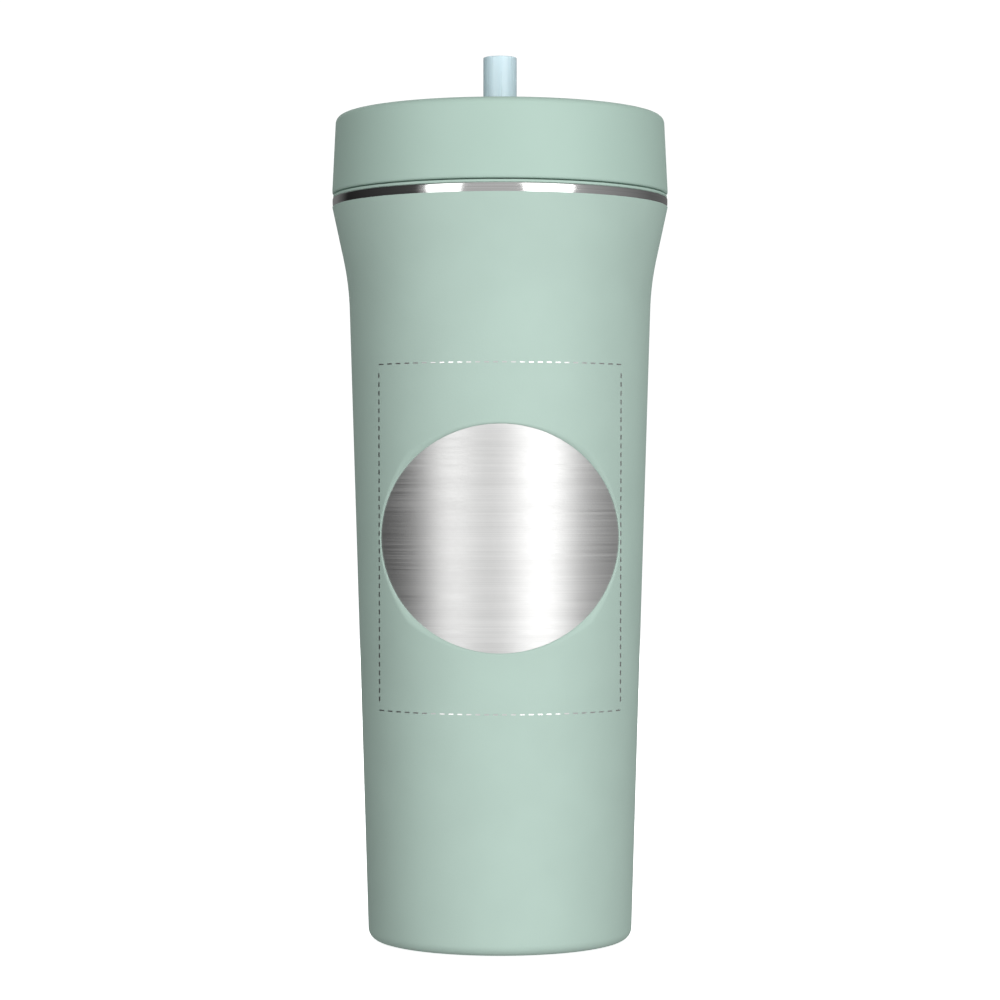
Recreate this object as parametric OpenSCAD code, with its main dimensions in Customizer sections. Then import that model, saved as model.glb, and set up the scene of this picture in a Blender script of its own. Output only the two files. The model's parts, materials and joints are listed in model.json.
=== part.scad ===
// Insulated straw tumbler: a double-walled vacuum cup of stainless steel, a hollow push-in lid
// and a straight straw that slides in the lid's silicone grommet.
// Millimetres, +Z up. The origin is the middle of the base, and the engraved front faces -Y.

/* [Cup] */
// Diameter of the bare steel band round the mouth
rim_d = 90; // [80:0.5:110]
// Height of the steel rim above the table
cup_h = 199; // [150:0.5:250]
// Height of the bare steel band
band_h = 2.4; // [1.5:0.1:5]
// How far the rim stands out beyond the waist, on each side
flare_out = 4.55; // [3.5:0.05:6]
// How far the waist, where the flare starts, lies below the ledge of the lid's seat
flare_low = 11; // [9:0.1:20]
// How far the waist stands out beyond the foot, on each side
taper_out = 5.35; // [3:0.05:7]
// Outer radius of the rounding at the foot
foot_r = 3; // [1.5:0.1:5]

/* [Walls] */
// Thickness of the outer steel sheet
outer_t = 0.6; // [0.4:0.05:1]
// Thickness of the inner steel sheet
inner_t = 0.5; // [0.4:0.05:0.8]
// Width of the vacuum gap between the two sheets, along the tapered body
vacuum_gap = 2.6; // [1.5:0.1:4]
// Height of the drinking side's floor above the table
floor_z = 10; // [8:0.5:20]
// Thickness of the powder coat
coat_t = 0.15; // [0.1:0.01:0.3]

/* [Mouth] */
// Diameter of the straight seat that the lid's seal runs in
mouth_d = 82.8; // [70:0.1:85]
// Depth of that seat, from the rim down to the ledge
seat_h = 12; // [8:0.1:16]

/* [Lid] */
// Height of the lid above the steel rim
lid_h = 22; // [16:0.1:35]
// Diameter of the lid's skirt at its lower edge
skirt_d = 90.2; // [80:0.1:112]
// How far the skirt leans in from its lower edge to its top, on each side
skirt_lean = 1; // [0:0.05:2]
// Wall thickness of the moulded lid parts
lid_t = 2; // [1.6:0.1:2.5]
// Thickness of the lip that rests on the steel rim
lip_t = 0.7; // [0.5:0.05:1.5]
// Height of the shadow gap between that lip and the skirt
shadow_gap = 0.35; // [0.2:0.05:1]
// Depth of the dish in the lid's top
dish_depth = 2; // [1:0.1:4]
// Width of the raised border round that dish
dish_border = 5; // [4:0.5:10]
// Depth of the plug below the steel rim
plug_h = 11.5; // [9:0.1:15]

/* [Straw] */
// Outer diameter of the straw
straw_d = 9; // [6:0.1:11]
// Wall thickness of the straw
straw_t = 0.8; // [0.5:0.05:1]
// How far the straw stands out above the lid's top
straw_out = 16.1; // [10:0.1:60]
// Gap between the straw's lower end and the floor
straw_gap = 3.5; // [2:0.1:10]
// How far the straw can be drawn up before its stopper meets the lid
straw_pull = 27; // [10:1:60]

/* [Engraving] */
// Height of the engraved disc's centre above the table
disc_z = 108.2; // [70:0.1:140]
// Width of the blank engraved disc, seen from the front
disc_w = 62.4; // [20:0.2:64]
// Height of the blank engraved disc
disc_h = 59; // [20:0.2:80]

/* [Hidden] */

$fn = 96;
// Straight steps in each rounded corner of a profile
corner_steps = 6;

// Clearances
gasket_clear = 0.2;  // seal fins to the steel seat
slide_clear = 0.08;  // straw to its grommet
seat_clear = 0.05;   // a soft ring to the groove or tube that holds it
plug_clear = 0.5;    // hard plug to the steel seat
pad_proud = 0.4;     // the pad's foot below the coated foot of the cup

// Colours
coat_green = [0.64, 0.75, 0.70];
lid_green = [0.63, 0.74, 0.68];
steel = [0.80, 0.80, 0.80];
silicone = [0.60, 0.71, 0.66];
copper = [0.85, 0.50, 0.35];
straw_blue = [0.75, 0.87, 0.91, 0.8];

// Cup: heights
foot_z = pad_proud + coat_t;
shoulder_z = cup_h - 1.9;
band_z = cup_h - band_h;
seat_z = cup_h - seat_h;
waist_z = seat_z - flare_low;
flare_h = shoulder_z - waist_z;

// Cup: radii of the outer sheet's outside
rim_r = rim_d / 2;
waist_r = rim_r - flare_out;
foot_edge_r = waist_r - taper_out;
rim_round = 0.4;
shoulder_round = 8;
waist_round = 75;
lip_in = 7;          // width of the foot that is turned in under the cup

// Cup: the inner sheet
mouth_r = mouth_d / 2;
seam_r = (mouth_r + rim_r) / 2;
wall_total = outer_t + vacuum_gap + inner_t;
mouth_round = 1;
pan_h = 8;           // height of the floor pan's rim
pan_round = 5;

// Cup: the outer base and what is fixed to it
recess_z = 1.9;      // underside of the base pan's middle
flange_z = foot_z + outer_t;
lip_r = foot_edge_r - lip_in;
flange_r = lip_r + 3.4;
pad_r = lip_r - 3;
pad_hole_r = 12;
cover_r = 11;
cover_t = 0.4;
dimple_r = 3.2;
dimple_h = 1;
pinhole_r = 0.8;

// Vacuum space
foil_t = 0.12;
foil_z = [floor_z + pan_h + 4, waist_z - 8];
getter_x = 12;
getter_r = 4;
getter_h = 1.5;
clip_t = 0.3;
clip_w = 4;
clip_foot = 3;

// Lid: heights
lip_top_z = cup_h + lip_t;
skirt_z = lip_top_z + shadow_gap;
lid_top_z = cup_h + lid_h;
plate_z = lid_top_z - dish_depth;
plate_under_z = plate_z - lid_t;
plug_z = cup_h - plug_h;
upstand_z = lip_top_z + 4;

// Lid: radii
plug_r = mouth_r - plug_clear;
lip_edge_r = rim_r - 0.15;
skirt_r = skirt_d / 2;
top_r = skirt_r - skirt_lean;
upstand_r = skirt_r - skirt_lean - lid_t + 0.2;
upstand_t = 1.8;
vent_y = 22;
vent_r = 0.8;

// Lid: seal groove
groove_z = [plug_z + 3, plug_z + 8];
groove_r = plug_r - 1.5;
fin_t = 0.8;

// Straw
straw_r = straw_d / 2;
straw_z = [floor_z + straw_gap, lid_top_z + straw_out];
stopper_h = 5;
stopper_r = straw_r + 2.5;
stopper_z = plug_z - straw_pull - 0.3 - stopper_h;

// Grommet, in the lid cover's hole
bore_r = straw_r + slide_clear;
neck_r = straw_r + 2.3;
cover_hole_r = neck_r + seat_clear;
flange_over_r = neck_r + 1.8;
flange_over_t = 1.2;
flange_under_r = neck_r + 1.2;
flange_under_t = 1.4;

// Straw well, from the plug up to the grommet
well_r = straw_r + 0.5;
well_t = 1.6;
well_top_z = plate_under_z - flange_under_t;

// Vent valve, in the plug's floor
valve_stem_r = 1.5;
valve_head_r = 3.4;
valve_head_t = 0.8;
valve_knob_r = 2.2;
valve_knob_h = 1.6;

// ---- Profiles: lists of [radius, height, rounding] ----

function xy(p) = [p[0], p[1]];
function unit(v) = v / norm(v);
function left(a, b) = let (d = unit(b - a)) [-d[1], d[0]];
function reverse(list) = [for (i = [len(list) - 1 : -1 : 0]) list[i]];

// Points of the corner at b between a and c, rounded to radius r or to what its legs allow
function corner(a, b, c, r) =
    let (
        u = unit(a - b),
        v = unit(c - b),
        half = acos(u * v) / 2,
        reach = r > 0 ? min(r / tan(half), 0.49 * norm(a - b), 0.49 * norm(c - b)) : 0,
        fit_r = reach * tan(half),
        centre = b + unit(u + v) * fit_r / sin(half),
        p = b + u * reach - centre,
        q = b + v * reach - centre,
        from = atan2(p[1], p[0]),
        turn = atan2(cross(p, q), p * q)
    )
    reach == 0
        ? [b]
        : [for (i = [0 : corner_steps])
              centre + fit_r * [cos(from + turn * i / corner_steps), sin(from + turn * i / corner_steps)]];

// An open profile with its corners rounded
function rounded(path) = [
    for (i = [0 : len(path) - 1])
        each i == 0 || i == len(path) - 1
            ? [xy(path[i])]
            : corner(xy(path[i - 1]), xy(path[i]), xy(path[i + 1]), path[i][2])
];

// A closed profile with its corners rounded
function rounded_loop(loop) = let (n = len(loop)) [
    for (i = [0 : n - 1])
        each corner(xy(loop[(i + n - 1) % n]), xy(loop[i]), xy(loop[(i + 1) % n]), loop[i][2])
];

// An open profile moved d to its left, its roundings changed to stay parallel
function moved(path, d) = let (last = len(path) - 1) [
    for (i = [0 : last])
        let (
            p = xy(path[i]),
            before = i > 0 ? left(xy(path[i - 1]), p) : left(p, xy(path[i + 1])),
            after = i < last ? left(p, xy(path[i + 1])) : before,
            shift = d * (before + after) / (1 + before * after),
            r = path[i][2] > 0 ? max(0, path[i][2] - d * sign(cross(before, after))) : 0
        )
        [p[0] + shift[0], p[1] + shift[1], r]
];

// A spun sheet of thickness t, to the left of its profile where t is positive
module sheet(path, t) {
    rotate_extrude()
        polygon(concat(rounded(path), reverse(rounded(moved(path, t)))));
}

// A spun solid from a closed profile
module spun(loop) {
    rotate_extrude() polygon(rounded_loop(loop));
}

// A tube or disc of exact radii
module ring(r_out, r_in, z0, z1) {
    rotate_extrude() translate([r_in, z0]) square([r_out - r_in, z1 - z0]);
}

// Outside radius of the outer sheet's tapered body, and of the drinking side, at height z
function body_r(z) = foot_edge_r + taper_out * (z - foot_z) / (waist_z - foot_z);
function inside_r(z) = body_r(z) - wall_total;
// Outside radius of the outer sheet's flare at height z
function flare_r(z) = waist_r + flare_out * (z - waist_z) / flare_h;

// Outside of the outer sheet, from the turned-in foot up to the shoulder
outside = [
    [lip_r, foot_z, 0],
    [foot_edge_r, foot_z, foot_r - coat_t],
    [waist_r, waist_z, waist_round]
];

// ---- Cup ----

module outer_wall() {
    color(steel)
        sheet(concat(outside, [
            [rim_r, shoulder_z, shoulder_round],
            [rim_r, cup_h, rim_round],
            [seam_r, cup_h, 0]
        ]), outer_t);
}

// The coat follows the outer sheet up to the bare band, and the engraving is cut through it
module powder_coat() {
    color(coat_green)
        difference() {
            sheet(concat(outside, [[flare_r(band_z), band_z, 0]]), -coat_t);
            engraved_disc();
        }
}

module engraved_disc() {
    step = 6;
    translate([0, 0, disc_z])
        rotate([90, 0, 0])
            linear_extrude(height = rim_r + 1)
                polygon([for (a = [0 : step : 360 - step]) [disc_w / 2 * cos(a), disc_h / 2 * sin(a)]]);
}

// The drinking side: the straight seat, the ledge under it and the tapered tube, rolled out at the lip
module inner_wall() {
    color(steel)
        sheet([
            [inside_r(floor_z + pan_h), floor_z + pan_h, 0],
            [inside_r(waist_z), waist_z, 10],
            [mouth_r, seat_z, 3],
            [mouth_r, cup_h, mouth_round],
            [seam_r, cup_h, 0]
        ], -inner_t);
}

module inner_base() {
    color(steel)
        sheet([
            [0, floor_z, 0],
            [inside_r(floor_z), floor_z, pan_round],
            [inside_r(floor_z + pan_h), floor_z + pan_h, 0]
        ], -inner_t);
}

// The base pan lies on the turned-in foot, with a dimple and a pinhole for drawing the vacuum
module outer_base() {
    color(steel)
        sheet([
            [pinhole_r, recess_z + dimple_h, 0],
            [dimple_r, recess_z + dimple_h, 0.5],
            [dimple_r + 0.6, recess_z, 0.5],
            [lip_r - 2, recess_z, 1],
            [lip_r - 0.5, flange_z, 1],
            [flange_r, flange_z, 0]
        ], outer_t);
}

module seal_bead() {
    color("dimgray")
        spun([
            [0, recess_z + 0.1, 0],
            [dimple_r - 0.9, recess_z + 0.3, 0.3],
            [dimple_r - 0.7, recess_z + dimple_h, 0],
            [pinhole_r - 0.1, recess_z + dimple_h, 0],
            [pinhole_r - 0.1, recess_z + dimple_h + 0.4, 0],
            [0, recess_z + dimple_h + 0.4, 0]
        ]);
}

module base_cover() {
    color(steel) ring(cover_r, 0, recess_z - cover_t, recess_z);
}

module base_pad() {
    color(silicone)
        spun([
            [pad_hole_r, recess_z, 0],
            [pad_hole_r, 0, 0.6],
            [pad_r, 0, 0.8],
            [pad_r, recess_z, 0]
        ]);
}

module copper_foil() {
    color(copper)
        sheet([
            [inside_r(foil_z[0]) + inner_t + seat_clear, foil_z[0], 0],
            [inside_r(foil_z[1]) + inner_t + seat_clear, foil_z[1], 0]
        ], -foil_t);
}

// The getter hangs under the floor pan in a clip, inside the vacuum
module getter() {
    color("darkgray")
        translate([getter_x, 0, 0])
            ring(getter_r, 0, floor_z - inner_t - getter_h, floor_z - inner_t);
}

module getter_clip() {
    top = floor_z - inner_t;
    span = 2 * getter_r + 0.4;
    under = top - getter_h - clip_t;
    color("silver")
        translate([getter_x, 0, 0]) {
            translate([-span / 2 - clip_t, -clip_w / 2, under])
                cube([span + 2 * clip_t, clip_w, clip_t]);
            for (side = [-1, 1]) {
                translate([side * (span / 2 + clip_t / 2) - clip_t / 2, -clip_w / 2, under])
                    cube([clip_t, clip_w, top - under]);
                translate([side * (span / 2 + (clip_foot + clip_t) / 2) - (clip_foot + clip_t) / 2, -clip_w / 2, top - clip_t])
                    cube([clip_foot + clip_t, clip_w, clip_t]);
            }
        }
}

// ---- Lid ----

// The hollow cover stands on the base's upstand, and the straw's grommet sits in its middle
module lid_cover() {
    inner_r = top_r - lid_t;
    rib_z = upstand_z + 1.8;
    dish_r = top_r - dish_border;
    color(lid_green)
        difference() {
            spun([
                [cover_hole_r, plate_z, 0],
                [dish_r - dish_depth / 2, plate_z, 2.5],
                [dish_r + dish_depth / 2, lid_top_z, 2],
                [top_r, lid_top_z, 2.2],
                [skirt_r, skirt_z, 0.6],
                [upstand_r + seat_clear, skirt_z, 0.3],
                [upstand_r + seat_clear, upstand_z, 0],
                [upstand_r - upstand_t, upstand_z, 0.3],
                [upstand_r - upstand_t, rib_z, 0.3],
                [inner_r - 0.1, rib_z + 1, 0.3],
                [inner_r - 0.3, plate_under_z - 0.4, 2],
                [dish_r, plate_under_z, 0],
                [cover_hole_r, plate_under_z, 0]
            ]);
            translate([0, vent_y, 0]) cylinder(r = vent_r, h = lid_top_z + 1);
        }
}

// The plug, its seal groove, the lip on the steel rim, the upstand and the straw's well in one moulding
module lid_base() {
    wall_r = groove_r - 1.6;
    floor_top_z = plug_z + lid_t;
    color(lid_green)
        difference() {
            spun([
                [well_r, plug_z, 0.4],
                [plug_r, plug_z, 1],
                [plug_r, groove_z[0], 0.2],
                [groove_r, groove_z[0], 0],
                [groove_r, groove_z[1], 0],
                [plug_r, groove_z[1], 0.2],
                [plug_r, cup_h, 0],
                [lip_edge_r, cup_h, 0.2],
                [lip_edge_r, lip_top_z, 0.2],
                [upstand_r, lip_top_z, 0],
                [upstand_r, upstand_z, 0.3],
                [upstand_r - upstand_t, upstand_z, 0.3],
                [wall_r, cup_h, 1],
                [wall_r, floor_top_z, 1.5],
                [well_r + well_t, floor_top_z, 1],
                [well_r + well_t, well_top_z, 0.3],
                [well_r, well_top_z, 0.3]
            ]);
            translate([0, vent_y, 0]) cylinder(r = valve_stem_r + seat_clear, h = floor_top_z + 1);
        }
}

// Three fins on a band that fills the plug's groove
module lid_gasket() {
    band_r = plug_r - 0.2;
    fin_r = mouth_r - gasket_clear;
    z0 = groove_z[0] + seat_clear;
    z1 = groove_z[1] - seat_clear;
    pitch = (z1 - z0 - fin_t) / 2;
    inner = groove_r + seat_clear;
    color(silicone)
        spun(concat(
            [[inner, z0, 0]],
            [for (i = [0 : 2], p = [
                [band_r, i == 0 ? z0 : z0 + i * pitch, 0],
                [fin_r, z0 + i * pitch + fin_t * 0.25, 0.15],
                [fin_r, z0 + i * pitch + fin_t * 0.75, 0.15],
                [band_r, i == 2 ? z1 : z0 + i * pitch + fin_t, 0]
            ]) p],
            [[inner, z1, 0]]
        ));
}

module straw_grommet() {
    color(silicone)
        spun([
            [bore_r, well_top_z, 0.3],
            [flange_under_r - 0.6, well_top_z, 0],
            [flange_under_r, plate_under_z, 0],
            [neck_r, plate_under_z, 0],
            [neck_r, plate_z, 0],
            [flange_over_r, plate_z, 0],
            [flange_over_r, plate_z + flange_over_t, 0.6],
            [bore_r, plate_z + flange_over_t, 0.5]
        ]);
}

// An umbrella valve: its head covers the liquid side, and its knob holds it above the plug's floor
module vent_valve() {
    top_z = plug_z + lid_t;
    color(silicone)
        translate([0, vent_y, 0])
            spun([
                [0, plug_z - valve_head_t, 0],
                [valve_head_r, plug_z - valve_head_t * 0.5, 0.2],
                [valve_head_r, plug_z, 0],
                [valve_stem_r, plug_z, 0],
                [valve_stem_r, top_z, 0],
                [valve_knob_r, top_z, 0.2],
                [valve_stem_r, top_z + valve_knob_h, 0.4],
                [0, top_z + valve_knob_h, 0]
            ]);
}

// ---- Straw ----

module straw_tube() {
    color(straw_blue) ring(straw_r, straw_r - straw_t, straw_z[0], straw_z[1]);
}

module straw_stopper() {
    color(silicone)
        spun([
            [straw_r + seat_clear, stopper_z, 0.3],
            [stopper_r - 0.8, stopper_z, 0.8],
            [stopper_r, stopper_z + stopper_h / 2, 1.5],
            [stopper_r - 0.8, stopper_z + stopper_h, 0.8],
            [straw_r + seat_clear, stopper_z + stopper_h, 0.3]
        ]);
}

outer_wall();
powder_coat();
inner_wall();
inner_base();
outer_base();
copper_foil();
getter();
getter_clip();
seal_bead();
base_cover();
base_pad();
lid_cover();
lid_base();
lid_gasket();
straw_grommet();
vent_valve();
straw_tube();
straw_stopper();
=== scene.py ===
"""A powder-coated vacuum tumbler with a push-in lid and a straw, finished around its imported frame."""
import json
import math

import bmesh
import bpy
import numpy as np
from bpy.props import FloatProperty, FloatVectorProperty, IntProperty, PointerProperty
from bpy.types import Operator, Panel, PropertyGroup
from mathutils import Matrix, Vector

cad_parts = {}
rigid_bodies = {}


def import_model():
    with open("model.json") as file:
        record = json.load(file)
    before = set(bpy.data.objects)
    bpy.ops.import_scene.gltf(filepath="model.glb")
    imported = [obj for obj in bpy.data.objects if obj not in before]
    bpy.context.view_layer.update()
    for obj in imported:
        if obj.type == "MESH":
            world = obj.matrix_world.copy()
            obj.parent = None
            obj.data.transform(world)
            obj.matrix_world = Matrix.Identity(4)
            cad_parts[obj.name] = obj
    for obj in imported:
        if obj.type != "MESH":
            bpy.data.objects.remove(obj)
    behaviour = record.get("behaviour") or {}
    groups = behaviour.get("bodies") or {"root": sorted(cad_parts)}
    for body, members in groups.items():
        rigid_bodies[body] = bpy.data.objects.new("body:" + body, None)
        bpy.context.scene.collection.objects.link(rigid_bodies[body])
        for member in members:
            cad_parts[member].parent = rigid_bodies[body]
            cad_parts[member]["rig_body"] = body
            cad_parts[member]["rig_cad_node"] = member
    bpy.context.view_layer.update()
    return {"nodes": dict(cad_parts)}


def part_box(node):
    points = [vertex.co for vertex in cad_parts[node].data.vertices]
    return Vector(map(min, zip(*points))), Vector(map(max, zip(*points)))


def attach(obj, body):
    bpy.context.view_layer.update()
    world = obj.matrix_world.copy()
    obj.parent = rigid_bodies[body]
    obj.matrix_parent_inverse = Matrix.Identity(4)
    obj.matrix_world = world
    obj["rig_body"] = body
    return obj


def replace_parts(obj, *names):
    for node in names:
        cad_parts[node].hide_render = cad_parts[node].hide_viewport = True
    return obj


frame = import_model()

bl_info = {
    "name": "Insulated Tumbler",
    "version": (1, 0, 0),
    "blender": (4, 5, 0),
    "location": "View3D > Sidebar > Tumbler",
    "description": "Makes the surfaces and finishes of a vacuum tumbler with a straw lid",
    "category": "Add Mesh",
}

MM = 0.001
NODES = frame["nodes"]

# Points nearer than this are one: on a new surface, and on a copy of a CAD node's loose triangles
NEAR = 1e-7
CAD_NEAR = 1e-6
# Edges that turn by more than this stay sharp
SHARP_TURN = math.radians(32)
# The most of a profile's leg that the rounding at one of its ends may take
LEG_SHARE = 0.49
# Longest legs along the steel walls, and along the coat and the floor pan
COARSE_STEP = 4 * MM
FINE_STEP = 2 * MM
# Steps round the small rings
RING_COLUMNS = 96
GROMMET_COLUMNS = 128
# Clearance of the straw in its grommet, and of a seated piece
SLIDE_CLEAR = 0.08 * MM
SEAT_CLEAR = 0.05 * MM
# A dash and its gap, in dash lengths; how deep a dash is let into the coat, and how far it stands proud
DASH_PITCH = 1.85
DASH_DEPTH = 0.06 * MM
DASH_PROUD = 0.02 * MM
# Azimuth from the camera's side, in degrees, and how bright the ring of light is there
RING_GREYS = (
    (-180, 0.2), (-150, 0.2), (-128, 0.02), (-58, 0.07), (-52, 0.6),
    (45, 0.66), (62, 0.42), (125, 0.15), (160, 0.16),
)
# Name, azimuth and elevation in degrees, distance, width and height in metres, watts, whether it reflects
SOFTBOXES = (
    ("softbox_left", -38, 10, 1.3, 0.55, 1.3, 5.5, True),
    ("softbox_right", 33, 10, 1.3, 0.80, 1.3, 9.5, True),
    ("softbox_back_left", -165, 25, 1.5, 0.7, 1.2, 8, False),
    ("softbox_back_right", 165, 25, 1.5, 0.7, 1.2, 8, False),
    ("softbox_top", 0, 88, 1.6, 1.2, 1.2, 0.6, True),
)


def node_radius(node):
    """Half the width of a round CAD node along X."""
    low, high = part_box(node)
    return (high[0] - low[0]) / 2


def node_bottom(node):
    """Height of a CAD node's lowest point."""
    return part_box(node)[0][2]


def node_top(node):
    """Height of a CAD node's highest point."""
    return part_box(node)[1][2]


def length(name, description, default):
    """A length in metres that the panel shows."""
    return FloatProperty(name=name, description=description, default=default, unit="LENGTH", precision=5)


def tint(name, description, default):
    """A colour that the panel shows."""
    return FloatVectorProperty(
        name=name, description=description, default=default, subtype="COLOR", size=3, min=0, max=1)


class TumblerSizes(PropertyGroup):
    """Sizes of the tumbler, in metres."""

    rim_radius: length("Rim radius", "Outside radius of the bare steel band", node_radius("outer_wall"))
    cup_height: length("Cup height", "Height of the steel rim", node_top("outer_wall"))
    band_base: length("Band base", "Height where the powder coat ends", node_top("powder_coat"))
    shoulder_depth: length("Shoulder depth", "How far under the rim the flare is at its widest", 1.9 * MM)
    flare_out: length("Flare", "How far the rim stands out beyond the waist", 4.55 * MM)
    flare_height: length("Flare height", "Height of the flare", 21.1 * MM)
    taper_out: length("Taper", "How far the waist stands out beyond the foot", 5.35 * MM)
    foot_turn: length("Foot turn-in", "Width of the foot that is turned in under the cup", 7 * MM)
    coat_thickness: length("Coat thickness", "Thickness of the powder coat", 0.15 * MM)
    sheet_thickness: length("Sheet thickness", "Thickness of the outer steel sheet", 0.6 * MM)
    inner_thickness: length("Inner thickness", "Thickness of the inner steel sheet", 0.5 * MM)
    vacuum_gap: length("Vacuum gap", "Width of the gap between the two sheets", 2.6 * MM)
    mouth_radius: length("Mouth radius", "Inside radius of the lid's seat", 41.4 * MM)
    seat_depth: length("Seat depth", "Height of the straight seat under the rim", 12 * MM)
    seam_inset: length("Seam inset", "How far inside the band's face the two sheets meet", 1.8 * MM)
    disc_centre: length("Disc centre", "Height of the engraved disc's centre", 108.2 * MM)
    disc_width: length("Disc width", "Width of the engraved disc, seen from the front", 62.4 * MM)
    disc_height: length("Disc height", "Height of the engraved disc", 59 * MM)
    border_width: length("Border width", "Width of the dashed border, seen from the front", 63.2 * MM)
    border_height: length("Border height", "Height of the dashed border", 90.5 * MM)
    dash_length: length("Dash length", "Length of one engraved dash", 1.25 * MM)
    dash_width: length("Dash width", "Width of one engraved dash", 0.32 * MM)
    lid_thickness: length("Lid thickness", "Thickness of the lid's wall and plate", 2 * MM)
    skirt_lean: length("Skirt lean", "How far the skirt's foot stands out beyond the lid's top", 1 * MM)
    dish_depth: length("Dish depth", "Depth of the dish in the lid's top", 2 * MM)
    dish_border: length("Dish border", "Width of the raised border round the dish", 5 * MM)
    grommet_hole: length("Grommet hole", "Radius of the lid's hole for the grommet", 6.85 * MM)
    vent_back: length("Vent place", "How far behind the lid's middle the vent hole is", 22 * MM)
    vent_radius: length("Vent radius", "Radius of the vent hole", 0.8 * MM)
    straw_wall: length("Straw wall", "Thickness of the straw's wall", 0.8 * MM)
    columns: IntProperty(
        name="Columns", description="Steps round each large spun surface", default=240, min=48)


class TumblerColours(PropertyGroup):
    """Colours of the tumbler's finishes."""

    coat: tint("Coat", "Colour of the powder coat", (0.415, 0.545, 0.485))
    lid: tint("Lid", "Colour of the moulded lid", (0.40, 0.54, 0.475))
    silicone: tint("Silicone", "Colour of the silicone seals", (0.33, 0.46, 0.40))
    steel: tint("Steel", "Colour of the bare steel", (0.62, 0.62, 0.615))
    straw: tint("Straw", "Colour of the translucent straw", (0.70, 0.87, 0.94))


# ---- Profiles ----

def rounded(corners, closed=False, steps=8):
    """Points of a profile of (radius, height, rounding) corners.

    Each corner becomes an arc that touches both of its legs. Its centre lies on their bisector, at the
    rounding over the sine of half their angle, and the arc turns from one touching point to the other in
    equal steps.
    """
    points = np.array([corner[:2] for corner in corners], float)
    count = len(points)
    made = []
    for i in range(count):
        if not closed and i in (0, count - 1):
            made.append(points[i:i + 1])
            continue
        before = points[i - 1] - points[i]
        after = points[(i + 1) % count] - points[i]
        length_before, length_after = np.linalg.norm(before), np.linalg.norm(after)
        before, after = before / length_before, after / length_after
        half = math.acos(float(np.clip(before @ after, -1, 1))) / 2
        reach = min(corners[i][2] / math.tan(half), LEG_SHARE * length_before, LEG_SHARE * length_after)
        if reach <= 0:
            made.append(points[i:i + 1])
            continue
        radius = reach * math.tan(half)
        bisector = (before + after) / np.linalg.norm(before + after)
        centre = points[i] + bisector * radius / math.sin(half)
        start, end = points[i] + before * reach - centre, points[i] + after * reach - centre
        turn = math.atan2(start[0] * end[1] - start[1] * end[0], start @ end)
        angles = math.atan2(start[1], start[0]) + turn * np.linspace(0, 1, steps + 1)
        made.append(centre + radius * np.column_stack([np.cos(angles), np.sin(angles)]))
    return np.vstack(made)


def beside(points, distance):
    """An open profile moved to its left.

    Each point goes along the mean normal of its two legs, stretched so that both legs keep their distance.
    """
    legs = np.diff(points, axis=0)
    legs /= np.linalg.norm(legs, axis=1)[:, None]
    normals = np.column_stack([-legs[:, 1], legs[:, 0]])
    before = np.vstack([normals[:1], normals])
    after = np.vstack([normals, normals[-1:]])
    stretch = 1 + np.sum(before * after, axis=1)
    return points + distance * (before + after) / stretch[:, None]


def resampled(points, step, crowding=0.3):
    """An open profile with extra points on its long legs, so that no leg is much longer than the step.

    An extra point is left out where one of the profile's own is nearer than the crowding share of a step.
    """
    lengths = np.linalg.norm(np.diff(points, axis=0), axis=1)
    travel = np.concatenate([[0], np.cumsum(lengths)])
    extra = np.linspace(0, travel[-1], int(travel[-1] / step) + 1)
    nearest = np.abs(extra[:, None] - travel).min(axis=1)
    at = np.sort(np.concatenate([travel, extra[nearest > crowding * step]]))
    return np.column_stack([np.interp(at, travel, points[:, k]) for k in (0, 1)])


def sheet_profile(points, thickness):
    """The closed outline of a sheet that lies to the left of its profile."""
    return np.vstack([points, beside(points, thickness)[::-1]])


def body_corners(sizes):
    """Corners of the outer sheet's outside, from the turned-in foot up to the shoulder under the band."""
    foot_round, waist_round, shoulder_round = 2.85 * MM, 75 * MM, 8 * MM
    foot = node_bottom("outer_wall")
    waist_radius = sizes.rim_radius - sizes.flare_out
    foot_radius = waist_radius - sizes.taper_out
    shoulder = sizes.cup_height - sizes.shoulder_depth
    return [
        (foot_radius - sizes.foot_turn, foot, 0),
        (foot_radius, foot, foot_round),
        (waist_radius, shoulder - sizes.flare_height, waist_round),
        (sizes.rim_radius, shoulder, shoulder_round),
    ]


def coat_profile(sizes):
    """The coat's outside: the outer sheet's, moved out by the coat's thickness and cut off at the band."""
    shortest_leg = 0.05 * MM
    corners = body_corners(sizes) + [(sizes.rim_radius, sizes.cup_height, 0)]
    outside = beside(rounded(corners), -sizes.coat_thickness)
    below = outside[outside[:, 1] < sizes.band_base - shortest_leg]
    radius = np.interp(sizes.band_base, outside[:, 1], outside[:, 0])
    return resampled(np.vstack([below, [[radius, sizes.band_base]]]), FINE_STEP)


def grommet_outline(sizes):
    """The straw's grommet: its neck in the lid's hole, a flange over the plate and a foot on the well."""
    straw = node_radius("straw_tube")
    bore, neck = straw + SLIDE_CLEAR, straw + 2.3 * MM
    over, foot = neck + 1.8 * MM, neck + 1.2 * MM
    plate = node_top("lid_cover") - sizes.dish_depth
    under = plate - sizes.lid_thickness
    well, top = node_bottom("straw_grommet"), plate + 1.2 * MM
    return rounded([
        (bore, well, 0.3 * MM),
        (foot - 0.6 * MM, well, 0.2 * MM),
        (foot, under, 0),
        (neck, under, 0),
        (neck, plate, 0),
        (over, plate, 0.1 * MM),
        (over, top, 0.6 * MM),
        (bore, top, 0.5 * MM),
    ], closed=True)


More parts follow.
